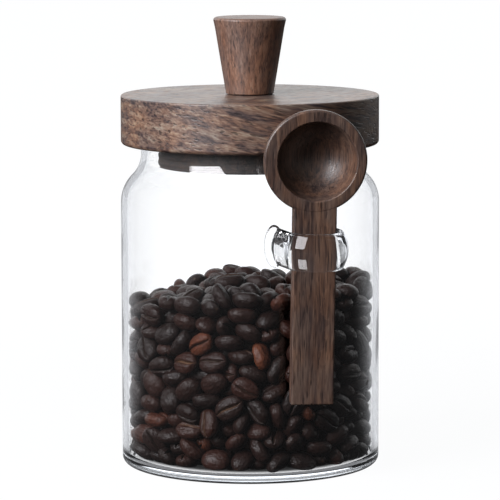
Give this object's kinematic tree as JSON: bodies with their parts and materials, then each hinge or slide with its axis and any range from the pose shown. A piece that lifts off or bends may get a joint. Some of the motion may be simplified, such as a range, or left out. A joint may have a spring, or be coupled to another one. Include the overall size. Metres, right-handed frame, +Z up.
{
  "type": "food canister",
  "caption": "Straight-sided glass canister of coffee beans with a turned wooden press-in lid, a tapered knob and a wooden scoop held in a glass loop on its side.",
  "frame": {"origin": "middle of the jar's flat underside", "axes": "+Z up through the jar, the lid and the knob; -Y is the front, where the scoop hangs a little towards +X"},
  "size_m": [0.1, 0.1193, 0.1735],
  "materials": {
    "glass": "clear, smooth borosilicate glass",
    "disc_wood": "turned dark walnut-coloured hardwood, figured, oiled matt",
    "plug_wood": "turned dark hardwood, matt",
    "knob_wood": "turned dark hardwood with upright grain, oiled matt",
    "scoop_wood": "carved dark hardwood with grain along the handle, oiled matt",
    "silicone": "clear silicone, satin",
    "steel": "zinc-plated steel",
    "coffee": "dark roasted beans with a soft oily sheen"
  },
  "bodies": {
    "jar": {"glass_jar": "glass", "scoop_loop": "glass", "coffee_beans": "coffee"},
    "lid": {"lid_disc": "disc_wood", "lid_plug": "plug_wood", "seal_ring": "silicone", "knob": "knob_wood", "knob_screw": "steel"},
    "scoop": {"scoop": "scoop_wood"}
  },
  "joints": [
    {"name": "lid_lift", "type": "slide", "parent": "jar", "child": "lid", "axis": [0, 0, 1], "range_m": [0, 0.08]},
    {"name": "scoop_lift", "type": "slide", "parent": "jar", "child": "scoop", "axis": [0.0148, -0.0773, 0.9969], "range_m": [0, 0.09]}
  ]
}
